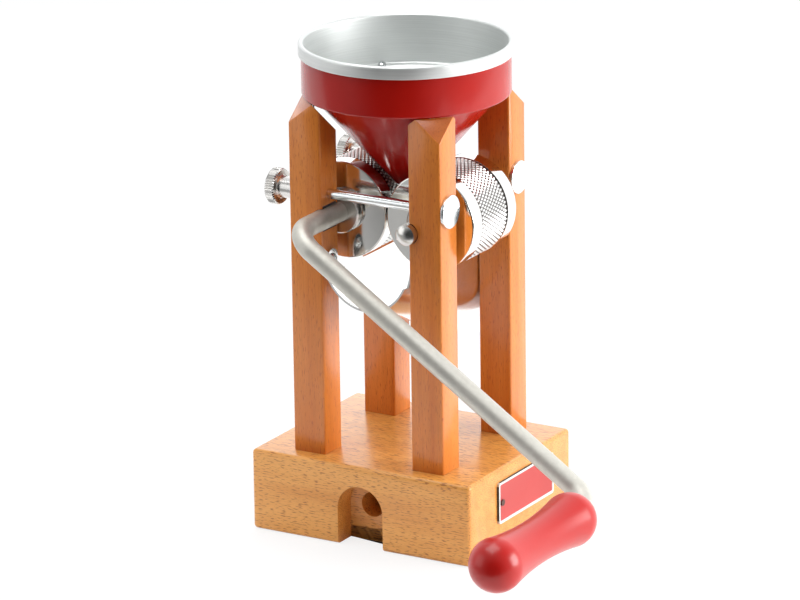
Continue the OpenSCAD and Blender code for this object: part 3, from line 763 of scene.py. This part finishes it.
# %% Hopper
SHEET = 1.5
NECK = 7.5
SHELF = 5.5
CONE_SLOPE = 1.13
LIP_HEIGHT = 7.5
LIP_OUT = 1.5
LIP_FILLET = 0.3
LIP_CORNER = 0.4
INNER_BEND = 1.4
WINDOW_GAP = 0.5
ROLLER_IN = 3.2
CUTTER_REACH = 1.1
SIDEWAYS = 0.2
DOWNWARDS = -0.7


def hopper_outline(top, bottom, lip_radius):
    """Half of the section, as (radius, height) in millimetres."""
    band = lip_radius - LIP_OUT
    inner = band - SHEET
    rise = SHEET * math.sqrt(1 + CONE_SLOPE ** 2)
    shelf_low = bottom + CONE_SLOPE * (band - SHELF - NECK)
    shelf_top = shelf_low + SHEET
    lip_low = top - LIP_HEIGHT
    round_lip = (lip_radius - inner) / 2
    outline = [(NECK, bottom), (band - SHELF, shelf_low)]
    outline += arc(inner, shelf_top, SHEET, -90, 0, 6)
    outline += [(band, lip_low - LIP_FILLET), (band + LIP_FILLET, lip_low)]
    outline += arc(lip_radius - LIP_CORNER, lip_low + LIP_CORNER, LIP_CORNER, -90, 0, 3)
    outline += arc(inner + round_lip, top - round_lip, round_lip, 0, 180, 14)
    outline += arc(inner - INNER_BEND, shelf_top + INNER_BEND, INNER_BEND, 0, -90, 6)
    cone_in = band - SHELF - (rise - SHEET) / CONE_SLOPE
    outline += [(cone_in, shelf_top), (NECK - SHEET, bottom - SHEET * CONE_SLOPE + rise)]
    outline += [(NECK - SHEET, bottom), (NECK, bottom)]
    return outline, lip_low


def make_hopper():
    """The spun bowl with its two windows and its paint."""
    high = span("hopper")[1]
    cone_line = (ROLLER_RADIUS - ROLLER_IN) * math.sqrt(1 + CONE_SLOPE ** 2)
    bottom = AXLE_HEIGHT / MM - CONE_SLOPE * AXLE_X / MM + cone_line + CONE_SLOPE * NECK
    outline, lip_low = hopper_outline(high.z / MM, bottom, high.x / MM)
    bowl = lathe("hopper_bowl", outline, steps=192)
    reach = high.y * CUTTER_REACH
    for side in (-1, 1):
        x = side * AXLE_X
        carve(bowl, rod_shape((ROLLER_RADIUS + WINDOW_GAP) * MM, (x, -reach, AXLE_HEIGHT),
                              (x, reach, AXLE_HEIGHT), sides=192))
    soften(bowl, angle=40)
    dress(bowl, "frame", ["hopper"], "red_hopper", ALUMINIUM, RED_PAINT)
    paint_faces(bowl, 1, lambda face: is_outside(face, lip_low * MM))


def paint_faces(piece, index, test):
    """Gives the faces that pass a test another finish of the piece."""
    pick(piece)
    bpy.ops.object.mode_set(mode="EDIT")
    count = select_parts(piece, "FACE", test)
    piece.active_material_index = index
    bpy.ops.object.material_slot_assign()
    bpy.ops.object.mode_set(mode="OBJECT")
    print(piece.name, "painted faces:", count)


def is_outside(face, lip_low):
    """True for a face of the bowl that looks out or down, below the lip."""
    centre = face.calc_center_median()
    outward = Vector((centre.x, centre.y, 0)).normalized()
    looks_out = face.normal.dot(outward) > SIDEWAYS or face.normal.z < DOWNWARDS
    return looks_out and centre.z < lip_low - 0.1 * MM


make_hopper()

# %% [markdown]
# The rollers do the work, and their knurl is the finest thing on the machine: rows of
# little blunt pyramids that bite the grain. A knurl is pressed by two crossing sets of
# slanting grooves. On the model the middle of the roller is spun with rows of points,
# and every second point, as on a chess board, is drawn towards the axis. Each quad is
# then split along its shorter diagonal, which is the one that runs along a groove, and
# a vertex bevel takes the tips off. The grooves also get painted shade: they are coloured
# darker than the crests, because light seldom gets out of them again. The finish knows
# them by their distance from the axle.

# %% Rollers
KNURL_AROUND = 70
KNURL_ROWS = 7
KNURL_LENGTH = 30
KNURL_TIP = 0.2
KNURL_DEPTH = 0.75
TIP_SHARE = 42
TIP_SLACK = 0.03
END_CHAMFER = 0.9
RIM = 0.1
CREST_COLOUR = (0.86, 0.86, 0.84)
# The groove colour is painted shade, darker than the crests.
GROOVE_PAINTED_SHADE = (0.10, 0.09, 0.085)


def knurl_outline(length):
    """Half of the section of a roller, as (radius, height) in millimetres."""
    half, knurl = length / 2, KNURL_LENGTH / 2
    tip = ROLLER_RADIUS + KNURL_TIP
    lower = [(ROD_RADIUS, -half)]
    lower += arc(ROLLER_RADIUS - END_CHAMFER, END_CHAMFER - half, END_CHAMFER, -90, 0, 5)
    lower += [(ROLLER_RADIUS, -knurl - RIM), (tip - KNURL_DEPTH, -knurl)]
    rows = 2 * KNURL_ROWS
    middle = [(tip, -knurl + KNURL_LENGTH * row / rows) for row in range(1, rows)]
    upper = [(radius, -height) for radius, height in reversed(lower)]
    return lower + middle + upper + lower[:1]


def knurled_steel(name, axle_x):
    """Pressed steel whose grooves, nearer to the axle, are painted dark as shade."""
    finish, tree, shader = new_finish(name, CREST_COLOUR, 0.3, metallic=1.0)
    across = pattern_place(tree, (1, 0, 1), shift=(-axle_x, 0, -AXLE_HEIGHT))
    distance = tree.nodes.new("ShaderNodeVectorMath")
    distance.operation = "LENGTH"
    tree.links.new(across, distance.inputs[0])
    tip = (ROLLER_RADIUS + KNURL_TIP) * MM
    height = add_node(tree, "ShaderNodeMapRange", From_Min=tip - KNURL_DEPTH * MM, From_Max=tip)
    tree.links.new(distance.outputs["Value"], height.inputs["Value"])
    # Painted shade: points nearer to the axle, in the grooves, get the dark colour.
    tone = add_ramp(tree, [(0.0, (*GROOVE_PAINTED_SHADE, 1)), (0.1, (*GROOVE_PAINTED_SHADE, 1)),
                           (0.4, (*CREST_COLOUR, 1))], height.outputs["Result"])
    tree.links.new(tone.outputs["Color"], shader.inputs["Base Color"])
    return finish


def is_knurled(face):
    """True for the faces of the knurled band, and not for those of the bore."""
    centre = face.calc_center_median()
    from_axle = math.hypot(abs(centre.x) - AXLE_X, centre.z - AXLE_HEIGHT)
    return abs(centre.y) < KNURL_LENGTH / 2 * MM and from_axle > 2 * ROD_RADIUS * MM


def make_rollers():
    """The roller on the crank rod, and a copy for the other axle."""
    low, high, middle = span("drive_roller")
    roller = lathe("drive_roller_knurled", knurl_outline((high.y - low.y) / MM), 2 * KNURL_AROUND)
    tip = (ROLLER_RADIUS + KNURL_TIP) * MM
    step = math.pi / KNURL_AROUND
    row = KNURL_LENGTH * MM / (2 * KNURL_ROWS)
    start = -KNURL_LENGTH / 2 * MM

    def is_tip(vertex):
        """True for the points of the knurled rows that stand out."""
        return abs(vertex.co.xy.length - tip) < TIP_SLACK * MM

    def is_groove(vertex):
        """True for every second point of the knurled rows."""
        x, y, z = vertex.co
        return is_tip(vertex) and (round(math.atan2(y, x) / step) + round((z - start) / row)) % 2 == 1

    pick(roller)
    bpy.ops.object.mode_set(mode="EDIT")
    count = select_parts(roller, "VERT", is_groove)
    shrink = 1 - KNURL_DEPTH * MM / tip
    bpy.ops.transform.resize(value=(shrink, shrink, 1), center_override=(0, 0, 0))
    select_parts(roller, "FACE", lambda face: abs(face.calc_center_median().z) < -start)
    bpy.ops.mesh.quads_convert_to_tris(quad_method="SHORTEST_DIAGONAL")
    tips = select_parts(roller, "VERT", is_tip)
    bpy.ops.mesh.bevel(offset_type="PERCENT", offset_pct=TIP_SHARE, affect="VERTICES")
    bpy.ops.object.mode_set(mode="OBJECT")
    print("grooves pressed at", count, "points, tips blunted:", tips)
    place(roller, middle, TO_BACK)
    soften(roller, angle=30)
    twin = copy_piece(roller, "idle_roller_knurled")
    place(twin, (2 * AXLE_X, 0, 0))
    dress(roller, "drive", ["drive_roller"], "polished_steel", ROLLER_STEEL,
          knurled_steel("drive_knurl", -AXLE_X))
    dress(twin, "idle", ["idle_roller"], "polished_steel", ROLLER_STEEL,
          knurled_steel("idle_knurl", AXLE_X))
    for piece in (roller, twin):
        paint_faces(piece, 1, is_knurled)


make_rollers()

# %% [markdown]
# A collar stands at each end of a roller and keeps it from sliding between the posts.
# It is a short turned ring with chamfered corners, drilled across for a roll pin. The
# same ring is copied four times, and each copy goes over its own node.

# %% Collars
COLLAR_EDGE = 0.8
PIN_HOLE = 2.6


def make_collars():
    """Four alike rings, one at each end of each roller."""
    low, high = span("drive_collar_front")[:2]
    length, radius = (high.y - low.y) / MM, (high.z - low.z) / 2 / MM
    outline = [(ROD_RADIUS, -length / 2), (radius - COLLAR_EDGE, -length / 2),
               (radius, COLLAR_EDGE - length / 2), (radius, length / 2 - COLLAR_EDGE),
               (radius - COLLAR_EDGE, length / 2), (ROD_RADIUS, length / 2),
               (ROD_RADIUS, -length / 2)]
    ring = lathe("collar_pattern", outline, steps=96)
    place(ring, (0, 0, 0), TO_BACK)
    reach = 2 * radius * MM
    carve(ring, rod_shape(PIN_HOLE / 2 * MM, (0, 0, -reach), (0, 0, reach), sides=32))
    soften(ring)
    for body in ("drive", "idle"):
        for end in ("front", "rear"):
            node = body + "_collar_" + end
            collar = copy_piece(ring, node + "_ring")
            place(collar, span(node)[2])
            dress(collar, body, [node], "turned_steel", TURNED_STEEL)
    bpy.data.objects.remove(ring)


make_collars()

# %% [markdown]
# The idle axle is a plain ground rod with low domes at its ends. The ends show on the
# front and the back of the posts, so their shape is worth an arc in the outline.

# %% Idle axle
CAP = ROD_RADIUS / 3


def dome(radius, height, steps):
    """Points from the rim of a low dome, at height 0, up to its top on the axis."""
    ball = (radius ** 2 + height ** 2) / (2 * height)
    start = math.degrees(math.acos(radius / ball))
    return arc(0, height - ball, ball, start, 90, steps)


def make_idle_axle():
    """A rod along Y with a dome at each end."""
    low, high, middle = span("idle_axle")
    half = (high.y - low.y) / 2 / MM
    upper = [(radius, half - CAP + height) for radius, height in dome(ROD_RADIUS, CAP, steps=7)]
    lower = [(radius, -height) for radius, height in reversed(upper)]
    axle = lathe("idle_axle_rod", lower + upper, steps=64)
    place(axle, middle, TO_BACK)
    soften(axle, angle=50)
    dress(axle, "idle", ["idle_axle"], "turned_steel", TURNED_STEEL)


make_idle_axle()

# %% [markdown]
# The crank is one rod, bent twice: it is the axle of the drive roller, then the arm,
# then the spindle of the grip. A smith pushes the rod through a bending jig, and the
# model is made the same way. A round face starts at the rear end and is extruded along
# the axle, spun round the first bend, extruded along the arm, spun back round the
# second bend and extruded into the spindle. It is built flat and then turned down by
# the angle at which the arm hangs.

# %% Crank rod
BEND = 16
BEND_STEPS = 20
CRANK_REACH = 234
ARM_FRONT = 81
ARM_ANGLE = math.radians(33.9)


def push(x, y):
    """Extrudes the end face of the rod by a distance, in millimetres."""
    bpy.ops.mesh.extrude_region_move(TRANSFORM_OT_translate={"value": (x * MM, y * MM, 0)})


def bend(x, y, angle):
    """Spins the end face round an upright line at x and y."""
    bpy.ops.mesh.spin(steps=BEND_STEPS, angle=angle, center=(x * MM, y * MM, 0), axis=(0, 0, 1))


def make_crank():
    """Axle, arm and spindle in one piece."""
    low, high = span("crank_rod")[:2]
    rear = high.y / MM + ARM_FRONT
    spindle = ARM_FRONT + low.y / MM
    deselect_everything()
    bpy.ops.mesh.primitive_circle_add(vertices=48, radius=ROD_RADIUS * MM, fill_type="NGON",
                                      location=(0, (rear - CAP) * MM, 0), rotation=TO_FRONT)
    rod = bpy.context.object
    rod.name = "crank_bent_rod"
    bpy.ops.object.transform_apply(location=True, rotation=True, scale=True)
    bpy.ops.object.mode_set(mode="EDIT")
    bpy.ops.mesh.select_all(action="SELECT")
    push(0, BEND + CAP - rear)
    bend(BEND, BEND, -math.pi / 2)
    push(CRANK_REACH - 2 * BEND, 0)
    bend(CRANK_REACH - BEND, -BEND, math.pi / 2)
    push(0, spindle + BEND)
    close_seams()
    select_parts(rod, "FACE", lambda face: face.normal.y > 0.9 and len(face.verts) > 4)
    rim = dome(ROD_RADIUS, CAP, steps=6)
    for (r0, z0), (r1, z1) in zip(rim, rim[1:-1]):
        bpy.ops.mesh.inset(thickness=(r0 - r1) * MM, depth=(z1 - z0) * MM)
    bpy.ops.object.mode_set(mode="OBJECT")
    place(rod, (-AXLE_X, -ARM_FRONT * MM, AXLE_HEIGHT), (0, ARM_ANGLE, 0))
    soften(rod, angle=45)
    dress(rod, "drive", ["crank_rod"], "turned_steel", ROD_STEEL)


make_crank()

# %% [markdown]
# The grip is a glossy plastic bone: two round bulbs joined by a slim waist, bored for
# the spindle and widened at the mouth, where the rod comes out of its bend. All its
# curves are arcs that run into each other without a corner, so the outline is made of
# three arcs and a bore.

# %% Grip
BULB = 15.5
WAIST = 12.3
MOUTH = 8
MOUTH_DEPTH = 7
MOUTH_EDGE = 0.4
BORE = 6.1
END_WALL = 12


def make_grip():
    """The bone-shaped grip on its spindle."""
    low, high, middle = span("crank_grip")
    length = (high.y - low.y) / MM
    half = length / 2 - BULB
    waist_arc = (half ** 2 + WAIST ** 2 - BULB ** 2) / (2 * (BULB - WAIST))
    lean = math.degrees(math.atan2(half, WAIST + waist_arc))
    mouth = math.degrees(math.acos(MOUTH / BULB))
    outline = [(0, length - END_WALL), (BORE, length - END_WALL), (BORE, MOUTH_DEPTH),
               (MOUTH - MOUTH_EDGE, MOUTH_DEPTH), (MOUTH, MOUTH_DEPTH - MOUTH_EDGE)]
    outline += arc(0, BULB, BULB, -mouth, lean, 26)
    outline += arc(WAIST + waist_arc, length / 2, waist_arc, 180 + lean, 180 - lean, 20)[1:-1]
    outline += arc(0, length - BULB, BULB, -lean, 90, 34)
    grip = lathe("grip_bone", outline, steps=128)
    place(grip, (middle.x, high.y, middle.z), TO_FRONT)
    soften(grip, angle=50)
    dress(grip, "grip", ["crank_grip"], "red_grip", RED_PLASTIC)


make_grip()

# %% [markdown]
# Two tie bolts pull the posts together above the axles. Each has a thin flat head on
# the right and a thread for its thumb knob on the left. The knob is turned in one
# piece: a smooth hub and a flange whose rim is cut into fine straight teeth, so that
# fingers can turn it. The teeth come from drawing every second row of the rim inwards.

# %% Tie bolts and thumb knobs
BOLT_RADIUS = 3
BOLT_EDGE = 0.4
HEAD_THICKNESS = 2
HEAD_EDGE = 0.5
HEAD_BACK = 0.2
HUB_LENGTH = 9.5
HUB = 6.4
HUB_EDGE = 0.5
HUB_FILLET = 0.6
FLANGE_EDGE = 0.8
FLANGE_DISH = 1.0
DISH_RIM = 1.2
DISH_FLOOR = 0.8
KNOB_TEETH = 44
TOOTH_DEPTH = 0.7


def make_bolt(end):
    """One tie bolt along X, from its left end to its flat head."""
    low, high, middle = span("tie_bolt_" + end)
    head = (high.z - low.z) / 2 / MM
    left, right = low.x / MM, high.x / MM
    outline = [(0, left), (BOLT_RADIUS - BOLT_EDGE, left), (BOLT_RADIUS, left + BOLT_EDGE),
               (BOLT_RADIUS, right - HEAD_THICKNESS), (head - HEAD_BACK, right - HEAD_THICKNESS),
               (head, right - HEAD_THICKNESS + HEAD_BACK)]
    outline += arc(head - HEAD_EDGE, right - HEAD_EDGE, HEAD_EDGE, 0, 90, 4)
    outline += [(0, right)]
    bolt = lathe("tie_bolt_" + end + "_turned", outline, steps=96)
    place(bolt, (0, middle.y, middle.z), TO_RIGHT)
    soften(bolt)
    dress(bolt, "frame", ["tie_bolt_" + end], "zinc_steel", ZINC)


def make_knob(end):
    """One knurled knob, with its hub against the washer."""
    node = "thumb_knob_" + end
    low, high, middle = span(node)
    rim, length = (high.z - low.z) / 2 / MM, (high.x - low.x) / MM
    outline = [(BOLT_RADIUS, 0), (HUB - HUB_EDGE, 0), (HUB, HUB_EDGE), (HUB, HUB_LENGTH - HUB_FILLET),
               (HUB + HUB_FILLET, HUB_LENGTH), (rim - FLANGE_EDGE, HUB_LENGTH),
               (rim, HUB_LENGTH + FLANGE_EDGE), (rim, length - FLANGE_EDGE),
               (rim - FLANGE_EDGE, length), (HUB + DISH_RIM, length),
               (HUB + DISH_FLOOR, length - FLANGE_DISH), (0, length - FLANGE_DISH)]
    knob = lathe(node + "_turned", outline, 2 * KNOB_TEETH)
    step = math.pi / KNOB_TEETH
    pick(knob)
    bpy.ops.object.mode_set(mode="EDIT")
    select_parts(knob, "VERT", lambda vertex: is_tooth_root(vertex, rim * MM, step))
    shrink = 1 - TOOTH_DEPTH / rim
    bpy.ops.transform.resize(value=(shrink, shrink, 1), center_override=(0, 0, 0))
    bpy.ops.object.mode_set(mode="OBJECT")
    place(knob, (high.x, middle.y, middle.z), TO_LEFT)
    soften(knob, angle=25)
    dress(knob, end + "_knob", [node], "turned_steel", TURNED_STEEL)


def is_tooth_root(vertex, rim, step):
    """True for every second point of the rim."""
    x, y = vertex.co.xy
    return math.hypot(x, y) > rim - HAIR and round(math.atan2(y, x) / step) % 2 == 1


for machine_end in ("front", "rear"):
    make_bolt(machine_end)
    make_knob(machine_end)

# %% [markdown]
# A small plate is pinned to the right side of the base. It is pressed sheet metal with
# a raised bare border round a red field, and the field is left plain. The model is a
# block whose corners are rounded. Its outer face is inset by the width of the border
# and pushed in by the height of the step. Its sides are painted dark, as painted shade.

# %% Side plate
PLATE_CORNER = 2
PLATE_BORDER = 1.4
PLATE_STEP = 0.4
PLATE_EDGE = 0.12


def make_plate():
    """The bare plate with its border."""
    low, high = span("side_plate")[:2]
    plate = box_shape(low, high)
    plate.name = "bare_side_plate"
    pick(plate)
    bpy.ops.object.mode_set(mode="EDIT")
    select_parts(plate, "EDGE", lambda edge: abs(edge.verts[0].co.x - edge.verts[1].co.x) > MM)
    bpy.ops.mesh.bevel(offset=PLATE_CORNER * MM, segments=5, affect="EDGES")
    select_parts(plate, "FACE", lambda face: face.normal.x > 0.9)
    bpy.ops.mesh.inset(thickness=PLATE_BORDER * MM, depth=0)
    bpy.ops.mesh.inset(thickness=PLATE_STEP / 2 * MM, depth=-PLATE_STEP * MM)
    bpy.ops.object.mode_set(mode="OBJECT")
    use_modifier(plate, "BEVEL", width=PLATE_EDGE * MM, segments=2, limit_method="ANGLE")
    soften(plate, angle=20)
    dress(plate, "frame", ["side_plate"], "red_plate", ALUMINIUM, RED_FIELD, DARK_LINER_AND_PAINTED_SHADE)
    paint_faces(plate, 1, lambda face: face.normal.x > 0.9
                and face.calc_center_median().x < high.x - PLATE_STEP / 2 * MM)
    # The plate's sides get the dark colour as painted shade.
    paint_faces(plate, 2, lambda face: abs(face.normal.x) < 0.3 and face.calc_area() > MM * MM)


make_plate()

# %% [markdown]
# The other nodes already have their exact shape: the folded trough, the screws with
# their cross slots, the washers, pins and liners. They stay, and only get a finish.

# %% Finishes for the nodes that stay
NODE_FINISHES = {
    "flake_chute": CHUTE_STEEL,
    "knob_washers": ZINC,
    "hopper_screws": ZINC,
    "chute_screws": ZINC,
    "post_screws": ZINC,
    "side_plate_pins": PIN_STEEL,
    "drive_collar_pins": TURNED_STEEL,
    "idle_collar_pins": TURNED_STEEL,
    "liner_front_left": DARK_LINER_AND_PAINTED_SHADE,
    "liner_front_right": DARK_LINER_AND_PAINTED_SHADE,
    "liner_rear_left": DARK_LINER_AND_PAINTED_SHADE,
    "liner_rear_right": DARK_LINER_AND_PAINTED_SHADE,
}
for node_name, node_finish in NODE_FINISHES.items():
    for node_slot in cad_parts[node_name].material_slots:
        node_slot.material = node_finish
print("nodes that stay:", len(NODE_FINISHES))
